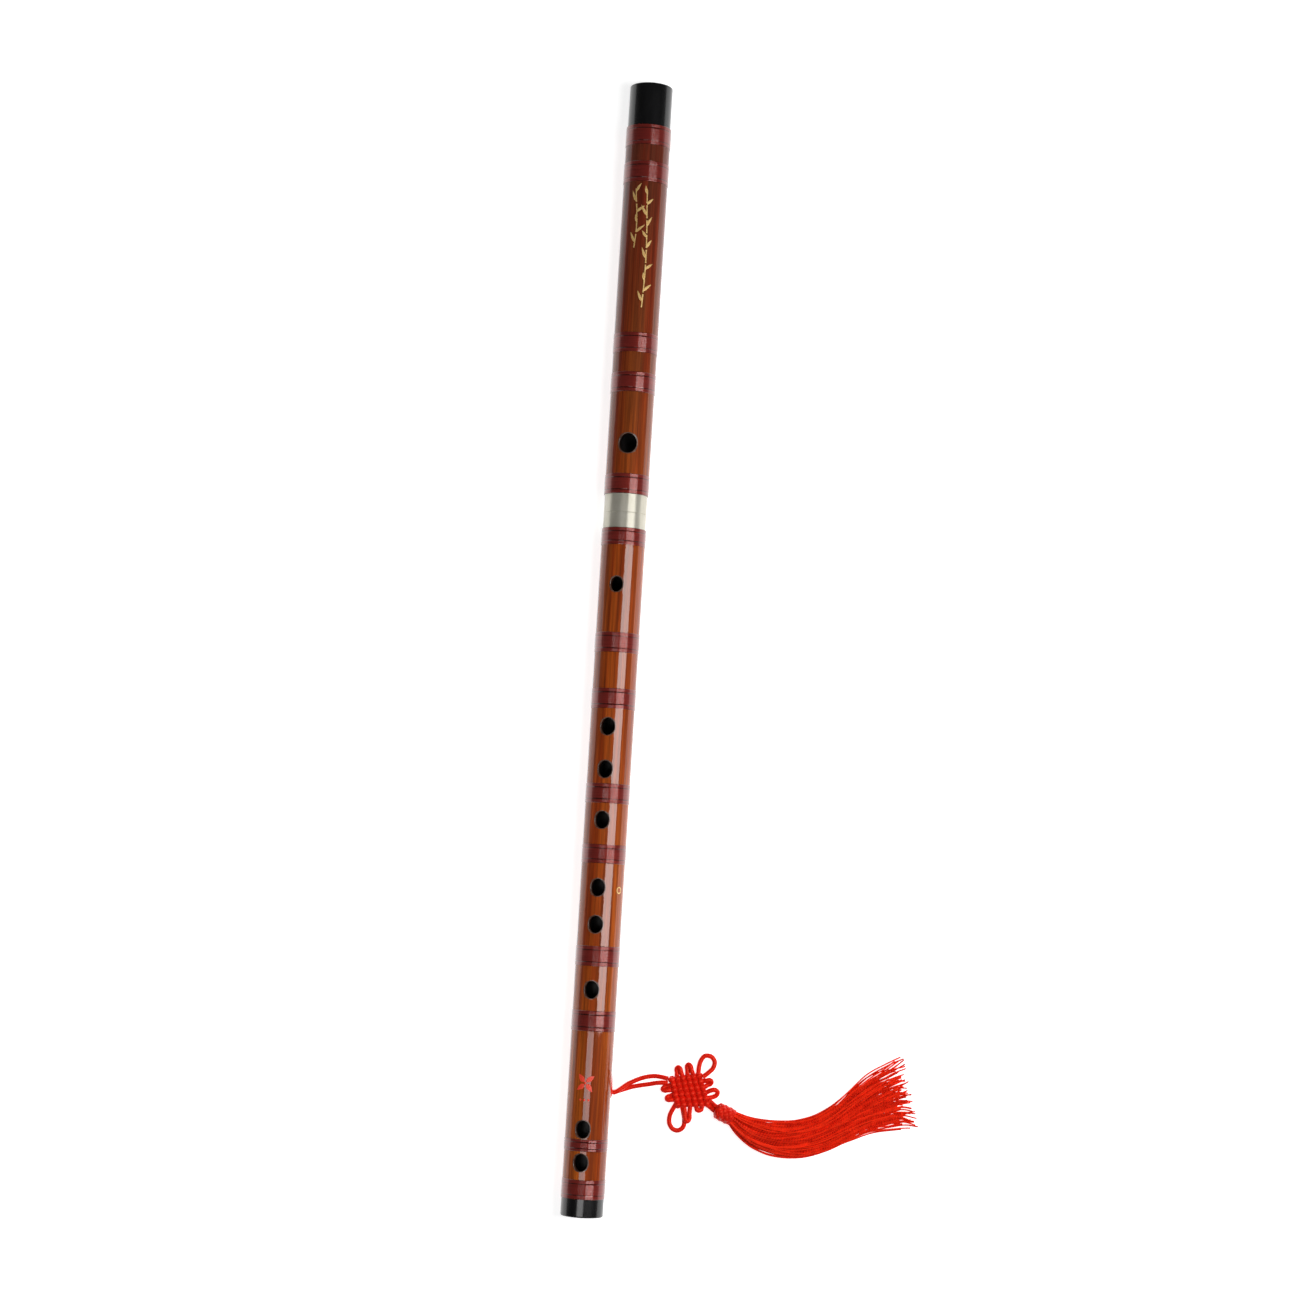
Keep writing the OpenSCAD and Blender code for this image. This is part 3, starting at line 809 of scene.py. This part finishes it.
def pendant_piece(piece, node):
    """Says that a piece rides on the pendant and stands for a node."""
    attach(piece, "pendant")
    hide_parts(node)
    return piece


weave = pendant_piece(make_weave(), "knot_body")
ears = pendant_piece(make_ears(), "knot_loops")
ends = pendant_piece(make_tails(), "knot_tails")
head = pendant_piece(make_tassel_head(), "tassel_head")
pendant_piece(make_skirt(), "tassel_skirt")


# ---- the bamboo
TUBE_SIDES = 120
TUBE_STEP = 5 * MM
# Window in the grid for a hole: half its length, and grid lines to each side of its middle
WINDOW = (6.6 * MM, 12)
CORD_WINDOW = (4.6 * MM, 9)
BLOW_WINDOW = (8 * MM, 15)
WINDOW_ROWS = 12
RIM_R = 0.32 * MM
RIM_STEPS = 4
# Rings round a hole, as shares of the way from its window to its edge, or down its wall
SKIN_RINGS = (0.35, 0.65, 0.88)
WALL_RINGS = (0.5, 1.0)
BORE_RINGS = (0.75, 0.4)
# Places of the looks in a tube's list of materials
ON_SKIN, ON_CUT, IN_BORE, ON_RIM = range(4)
# Stations this close are the same
SAME = 1e-7


class Tube:
    """A bamboo section as a closed mesh, with oval holes whose edges are rounded."""

    def __init__(self, start, end, zero_turn):
        self.zero = zero_turn
        self.points, self.faces, self.looks, self.cache = [], [], [], {}
        self.windows = []
        self.stations = {start, end}

    def cut(self, hole, turn, window):
        """Adds a hole and the window of the grid that it takes up."""
        half, reach = window
        middle = round((turn - self.zero) / tau * TUBE_SIDES)
        rows = [hole[0] + half * (2 * i / WINDOW_ROWS - 1) for i in range(WINDOW_ROWS + 1)]
        self.stations.update(rows)
        self.windows.append((hole, turn, rows, middle, reach))

    def vertex(self, point, key=None):
        if key in self.cache:
            return self.cache[key]
        self.points.append(point)
        if key:
            self.cache[key] = len(self.points) - 1
        return len(self.points) - 1

    def grid_vertex(self, layer, row, k):
        k %= TUBE_SIDES
        s, r = self.profiles[layer][row]
        turn = self.zero + tau * k / TUBE_SIDES
        radius = skin_radius(s, turn) if r is None else r
        return self.vertex(tube_point(s, turn, radius), (layer, row, k))

    def strip(self, lower, upper, look):
        for i in range(len(lower)):
            n = (i + 1) % len(lower)
            self.faces.append([lower[i], lower[n], upper[n], upper[i]])
            self.looks.append(look)
        return upper

    def border(self, layer, window):
        """Vertices round a window, with each one's place in it as shares of its half sizes."""
        _, _, rows, middle, reach = window
        profile = self.profiles[layer]
        first = next(i for i, (s, _) in enumerate(profile) if abs(s - rows[0]) < SAME)
        n = WINDOW_ROWS
        walk = [(i, -reach) for i in range(n)] + [(n, k) for k in range(-reach, reach)]
        walk += [(i, reach) for i in range(n, 0, -1)] + [(0, k) for k in range(reach, -reach, -1)]
        return [(self.grid_vertex(layer, first + i, middle + k), 2 * i / n - 1, k / reach) for i, k in walk]

    def hole_point(self, window, ds, across, height):
        """A point in a hole's own coordinates: along the flute, across the hole, out from the axis."""
        hole, turn, _, _, _ = window
        return Vector((
            FOOT_X + hole[0] + ds,
            -across * cos(turn) - height * sin(turn),
            AXIS_Z - across * sin(turn) + height * cos(turn),
        ))

    def open_hole(self, window):
        """Fills a window with the skin round its hole, the rounded rim, the wall and the bore's surface."""
        (station, half_l, half_w), turn, rows, _, reach = window
        half_s, half_t = rows[-1] - station, tau * reach / TUBE_SIDES
        outer_border, inner_border = self.border("outer", window), self.border("inner", window)
        angles = [atan2(t, s) for _, s, t in outer_border]
        outer_r = skin_radius(station, turn)
        loop = [v for v, _, _ in outer_border]

        def patch(share, grow, radius, border):
            ring = []
            for (_, s, t), a in zip(border, angles):
                rim_s, rim_w = (half_l + grow) * cos(a), (half_w + grow) * sin(a)
                ds = s * half_s * (1 - share) + rim_s * share
                dt = t * half_t * (1 - share) + asin(rim_w / radius(station + rim_s, turn)) * share
                here = radius(station + ds, turn + dt)
                place = self.hole_point(window, ds, here * sin(dt), here * cos(dt))
                ring.append(self.vertex(place))
            return ring

        def ring_at(grow, sink, share):
            """A ring of the hole's size or more, sunk below the skin, a share of the way to the bore."""
            ring = []
            for angle in angles:
                w = (half_w + grow) * sin(angle)
                top = sqrt(outer_r ** 2 - w * w) - sink
                height = top + (sqrt(BORE_R ** 2 - w * w) - top) * share
                ring.append(self.vertex(self.hole_point(window, (half_l + grow) * cos(angle), w, height)))
            return ring

        for share in SKIN_RINGS:
            loop = self.strip(loop, patch(share, RIM_R, skin_radius, outer_border), ON_SKIN)
        for step in range(RIM_STEPS + 1):
            a = pi / 2 * step / RIM_STEPS
            loop = self.strip(loop, ring_at(RIM_R * (1 - sin(a)), RIM_R * (1 - cos(a)), 0), ON_RIM)
        for share in WALL_RINGS:
            loop = self.strip(loop, ring_at(0, RIM_R, share), ON_CUT)
        for share in BORE_RINGS:
            loop = self.strip(loop, patch(share, 0, lambda s, t: BORE_R, inner_border), IN_BORE)
        self.strip(loop, [v for v, _, _ in inner_border], IN_BORE)

    def build(self, name, inner_steps):
        """inner_steps are the inner profile's (station, radius) corners, from start to end."""
        marks = sorted(self.stations)
        rows = []
        for a, b in zip(marks, marks[1:]):
            if b - a < SAME:
                continue
            count = max(1, ceil((b - a) / TUBE_STEP))
            rows += [a + (b - a) * i / count for i in range(count)]
        rows.append(marks[-1])
        inner = list(inner_steps[:2])
        bore_from, bore_to = inner_steps[2][0], inner_steps[3][0]
        inner += [(s, BORE_R) for s in [bore_from, *[s for s in rows if bore_from < s < bore_to], bore_to]]
        inner += list(inner_steps[4:])
        self.profiles = {"outer": [(s, None) for s in rows], "inner": inner}
        for layer, look in (("outer", ON_SKIN), ("inner", IN_BORE)):
            profile = self.profiles[layer]
            for row in range(len(profile) - 1):
                middle_s = (profile[row][0] + profile[row + 1][0]) / 2
                flat = abs(profile[row][0] - profile[row + 1][0]) < SAME
                for k in range(TUBE_SIDES):
                    if not flat and self.in_window(middle_s, k):
                        continue
                    corners = [(row, k), (row + 1, k), (row + 1, k + 1), (row, k + 1)]
                    self.faces.append([self.grid_vertex(layer, i, n) for i, n in corners])
                    self.looks.append(look)
        for row in (0, -1):
            outer = [self.grid_vertex("outer", row % len(rows), k) for k in range(TUBE_SIDES)]
            inside = [self.grid_vertex("inner", row % len(inner), k) for k in range(TUBE_SIDES)]
            self.strip(outer, inside, ON_CUT)
        for window in self.windows:
            self.open_hole(window)
        return mesh_piece(name, self.points, self.faces, [BAMBOO, CUT, BORE, RIM], self.looks)

    def in_window(self, s, k):
        for _, _, rows, middle, reach in self.windows:
            from_start = (k - middle + reach) % TUBE_SIDES
            if rows[0] < s < rows[-1] and from_start < 2 * reach:
                return True
        return False


def make_body_tube():
    start, end = span("body_tube")[:2]
    tube = Tube(start, end, FRONT_TURN)
    for hole in FINGER_HOLES:
        tube.cut(hole, FRONT_TURN, WINDOW)
    tube.cut(MEMBRANE_HOLE, FRONT_TURN, WINDOW)
    for hole in CORD_HOLES:
        tube.cut(hole, CORD_TURN, CORD_WINDOW)
    inner = [
        (start, SOCKET_R), (start + RING_SLEEVE, SOCKET_R), (start + RING_SLEEVE, BORE_R),
        (end - TENON_SKIRT, BORE_R), (end - TENON_SKIRT, SOCKET_R), (end, SOCKET_R),
    ]
    piece = tube.build("bamboo_body", inner)
    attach(piece, "body_section")
    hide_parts("body_tube")


def make_head_tube():
    start, end = span("head_tube")[:2]
    tube = Tube(start, end, BLOW_TURN)
    tube.cut(BLOW_HOLE, BLOW_TURN, BLOW_WINDOW)
    inner = [
        (start, SLEEVE_R), (SOCKET_END, SLEEVE_R), (SOCKET_END, BORE_R),
        (end - RING_SLEEVE, BORE_R), (end - RING_SLEEVE, SOCKET_R), (end, SOCKET_R),
    ]
    piece = tube.build("bamboo_head", inner)
    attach(piece, "head_section")
    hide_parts("head_tube")


make_body_tube()
make_head_tube()

# ---- the bindings
BINDING_SIDES = 80
THREAD_PITCH = 0.5 * MM
THREAD_RIDGE = 0.035 * MM
LINE_DEPTH = 0.12 * MM
LINE_HALF = 0.26 * MM
BAND_EDGE = 0.3 * MM
# A dark line's distance from the winding's end, at most this share of its length
LINE_INSET = 2.3 * MM
LINE_SHARE = 0.24
ROWS_PER_THREAD = 4
# Depth of the winding's edges and inside below the bamboo's surface
EDGE_SUNK = 0.04 * MM
INSIDE_SUNK = 0.12 * MM


def binding_lines(start, end):
    """Stations of the thin dark lines between the bands of thread."""
    inset = min(LINE_INSET, (end - start) * LINE_SHARE)
    return [start + inset, end - inset]


def make_binding(node):
    """One winding: a helix of thread laid side by side, with a narrow band at each end."""
    start, end, radius = span(node)
    lines = binding_lines(start, end)
    rows = round((end - start) / (THREAD_PITCH / ROWS_PER_THREAD))
    points, faces, looks = [], [], []
    stations = [start + (end - start) * i / rows for i in range(rows + 1)]
    for s in stations:
        edge = min(1, min(s - start, end - s) / BAND_EDGE)
        rounded = sqrt(1 - (1 - edge) ** 2)
        near = min(abs(s - line) for line in lines)
        groove = LINE_DEPTH * max(0, 1 - near / LINE_HALF)
        for k in range(BINDING_SIDES):
            turn = tau * k / BINDING_SIDES
            ridge = THREAD_RIDGE * (cos(tau * s / THREAD_PITCH - turn) - 1)
            low = tube_radius(s) - EDGE_SUNK
            points.append(tube_point(s, turn, low + (radius + ridge - groove - low) * rounded))
    for s in (end, start):
        under = tube_radius(s) - INSIDE_SUNK
        points += [tube_point(s, tau * k / BINDING_SIDES, under) for k in range(BINDING_SIDES)]
    for i in range(rows + 3):
        j = (i + 1) % (rows + 3)
        middle = (stations[i] + stations[j]) / 2 if i < rows else start
        on_line = min(abs(middle - line) for line in lines) < LINE_HALF
        dark = on_line or min(middle - start, end - middle) < BAND_EDGE
        faces += band(i * BINDING_SIDES, j * BINDING_SIDES, BINDING_SIDES)
        looks += [int(dark)] * BINDING_SIDES
    return mesh_piece("thread_" + node, points, faces, [THREAD, THREAD_DARK], looks)


HEAD_SECTION_NODES = frame["record"]["behaviour"]["bodies"]["head_section"]
for node in BINDINGS:
    winding = make_binding(node)
    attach(winding, "head_section" if node in HEAD_SECTION_NODES else "body_section")
    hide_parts(node)

# ---- CAD pieces that stay
KEPT = {
    "head_end_ring": HORN,
    "foot_end_ring": HORN,
    "cork_stopper": CORK,
    "socket_ferrule": METAL,
    "tenon_ferrule": METAL,
    "tenon_seal": SEAL_CORK,
}
for node, look in KEPT.items():
    kept = frame["nodes"][node]
    kept.data.materials.clear()
    kept.data.materials.append(look)

# ---- painted marks
PAINT_H = 0.045 * MM
PAINT_SUNK = 0.03 * MM
# Places across a stroke, from one edge to the other
ACROSS = (-1, -0.5, 0, 0.5, 1)
LEAF_STEPS = 12
STEM_STEPS = 6
STEM_JOINT = 9 * MM
STEM_W = 0.9 * MM
STEM_SWAY = 0.9 * MM
LEAF_W = 2.1 * MM
# Station and turn of each sprig's foot, its length, and its number of leaves
SPRIGS = ((521 * MM, 0.16, 70 * MM, 11), (556 * MM, -0.36, 36 * MM, 6))
RING_PLACE = (185 * MM, 0.92)
RING_SECTION = ((1.3, 0), (1.55, 1), (1.9, 1), (2.15, 0))
BLOSSOM_S = 75.5 * MM
PETAL = (5.6 * MM, 4 * MM)
PETAL_START = 0.8 * MM
# The blossom's middle dot and the three below it, in mm
DOTS = ((0, 0), (-9.5, -2.4), (-9.5, 0), (-9.5, 2.4))
DOT_SECTION = ((0.01, 1), (0.5, 1), (0.75, 0))


def flat_shape(shape, outline, station, turn):
    """Adds a thin raised patch to a shape, which is a mesh's points and faces. outline is rows of
    (along, across, height share)."""
    points, faces = shape
    first = len(points)
    for row in outline:
        for ds, dw, high in row:
            s = station + ds
            r = skin_radius(s, turn + dw / tube_radius(s))
            points.append(tube_point(s, turn + dw / r, r - PAINT_SUNK + (PAINT_H + PAINT_SUNK) * high))
    width = len(outline[0])
    for i in range(len(outline) - 1):
        for k in range(width - 1):
            a = first + i * width + k
            faces.append([a, a + 1, a + width + 1, a + width])


def leaf(shape, station, turn, angle, length, width):
    """One pointed leaf from its stem at the given place."""
    rows = []
    for i in range(LEAF_STEPS + 1):
        t = i / LEAF_STEPS
        half = width / 2 * sin(pi * t ** 0.75) + 0.01 * MM
        bend = 0.12 * length * t * t
        rows.append([
            (
                cos(angle) * length * t - sin(angle) * (bend + half * v),
                sin(angle) * length * t + cos(angle) * (bend + half * v),
                1 - v * v,
            )
            for v in ACROSS
        ])
    flat_shape(shape, rows, station, turn)


def stem_sway(t):
    """How far a stem is to one side of its line, at a share t of its length."""
    return STEM_SWAY * sin(pi * 1.3 * t)


def stem(shape, station, turn, length):
    """A thin stem along the flute, with a small gap at each of its joints."""
    joints = max(2, round(length / STEM_JOINT))
    for j in range(joints):
        rows = []
        for i in range(STEM_STEPS + 1):
            t = (j + 0.06 + 0.88 * i / STEM_STEPS) / joints
            flare = STEM_W / 2 * (1 + 0.35 * abs(2 * i / STEM_STEPS - 1) ** 3)
            rows.append([(length * t, stem_sway(t) + flare * v, 1 - v * v) for v in ACROSS])
        flat_shape(shape, rows, station, turn)


def make_sprigs():
    """Two generic gilded bamboo sprigs on the head section."""
    shape = [], []
    for station, turn, length, leaves in SPRIGS:
        stem(shape, station, turn, length)
        for i in range(leaves):
            t = (i + 0.6) / leaves
            side = 1 if i % 2 else -1
            angle = side * (0.55 + 0.25 * sin(2.4 * i))
            size = (6 + 1.2 * sin(1.7 * i + 1)) * MM
            leaf_turn = turn + stem_sway(t) / tube_radius(station)
            leaf(shape, station + length * t, leaf_turn, angle, size, LEAF_W)
    marks = mesh_piece("gold_sprigs", *shape, [GOLD])
    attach(marks, "head_section")


def round_patch(shape, station, turn, section, steps, ds=0, dw=0):
    """A ring or dot, ds along and dw across from its place. section is its (radius, height share)s."""
    rows = []
    for i in range(steps + 1):
        a = tau * i / steps
        rows.append([((ds + r * cos(a)) * MM, (dw + r * sin(a)) * MM, h) for r, h in section])
    flat_shape(shape, rows, station, turn)


def make_ring_mark():
    """A small gold ring beside the finger holes."""
    shape = [], []
    round_patch(shape, *RING_PLACE, RING_SECTION, 32)
    mark = mesh_piece("gold_ring_mark", *shape, [GOLD])
    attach(mark, "body_section")


def make_blossom():
    """A plain red four-petal blossom with three dots, above the lower end holes."""
    shape = [], []
    for i in range(4):
        angle = pi / 4 + i * pi / 2
        station = BLOSSOM_S + cos(angle) * PETAL_START
        turn = FRONT_TURN + sin(angle) * PETAL_START / tube_radius(BLOSSOM_S)
        leaf(shape, station, turn, angle, *PETAL)
    for ds, dw in DOTS:
        round_patch(shape, BLOSSOM_S, FRONT_TURN, DOT_SECTION, 16, ds, dw)
    mark = mesh_piece("red_blossom_mark", *shape, [VERMILION])
    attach(mark, "body_section")


make_sprigs()
make_ring_mark()
make_blossom()


# ---- floor, light and world
FLOOR_HALF = 3
FLOOR_GLOW = 0.78
# Name, angle from straight up, middle and length along the flute, width, and radiance
SOFTBOXES = (
    ("softbox_right", radians(34), -0.045, 0.45, 0.74, 8),
    ("softbox_left", radians(-10), -0.36, 0.18, 0.57, 4.6),
)
# Brightness of the surroundings
HORIZON = 0.14
OVERHEAD = 0.04
# Sine of the elevation from which they are at their dimmest
OVERHEAD_FROM = 0.45


def make_floor():
    """A pale paper ground that glows a little, to stay white."""
    look = Look("floor_paper")
    grain = look.noise((30, 30, 30), detail=2)
    pale = look.ramp(grain, (0.3, grey(0.87)), (0.7, grey(0.9)))
    look.finish(base_color=pale, roughness=0.9, emission_color=grey(1), emission_strength=FLOOR_GLOW)
    corners = [(x * FLOOR_HALF, y * FLOOR_HALF, 0) for x, y in ((-1, -1), (1, -1), (1, 1), (-1, 1))]
    ground = mesh_piece("floor", corners, [[0, 1, 2, 3]], [look.mat])


def softbox(name, angle, x_middle, x_length, width, radiance):
    """A rectangular light one metre from the flute, at an angle from straight up, towards -Y, facing it."""
    data = bpy.data.lights.new(name, "AREA")
    data.shape = "RECTANGLE"
    data.size, data.size_y = width, x_length
    data.energy = radiance * pi * width * x_length
    light = bpy.data.objects.new(name, data)
    light.visible_camera = False
    bpy.context.scene.collection.objects.link(light)
    place = Vector((x_middle, -sin(angle), cos(angle)))
    back = (place - Vector((x_middle, 0, 0))).normalized()
    across = Vector((1, 0, 0)).cross(back).normalized()
    light.matrix_world = placed(place, across, back.cross(across), back)


def make_world():
    """Dim surroundings that are brighter towards the horizon than overhead."""
    world = bpy.data.worlds.new("studio")
    world.use_nodes = True
    tree = world.node_tree
    place = tree.nodes.new("ShaderNodeTexCoord")
    split = tree.nodes.new("ShaderNodeSeparateXYZ")
    ramp = tree.nodes.new("ShaderNodeValToRGB")
    ramp.color_ramp.elements[0].color = grey(HORIZON)
    ramp.color_ramp.elements[1].color = grey(OVERHEAD)
    ramp.color_ramp.elements[1].position = OVERHEAD_FROM
    tree.links.new(place.outputs["Generated"], split.inputs[0])
    tree.links.new(split.outputs[2], ramp.inputs[0])
    tree.links.new(ramp.outputs[0], tree.nodes["Background"].inputs[0])
    bpy.context.scene.world = world
    bpy.context.scene.view_settings.view_transform = "Standard"


make_floor()
for box in SOFTBOXES:
    softbox(*box)
make_world()
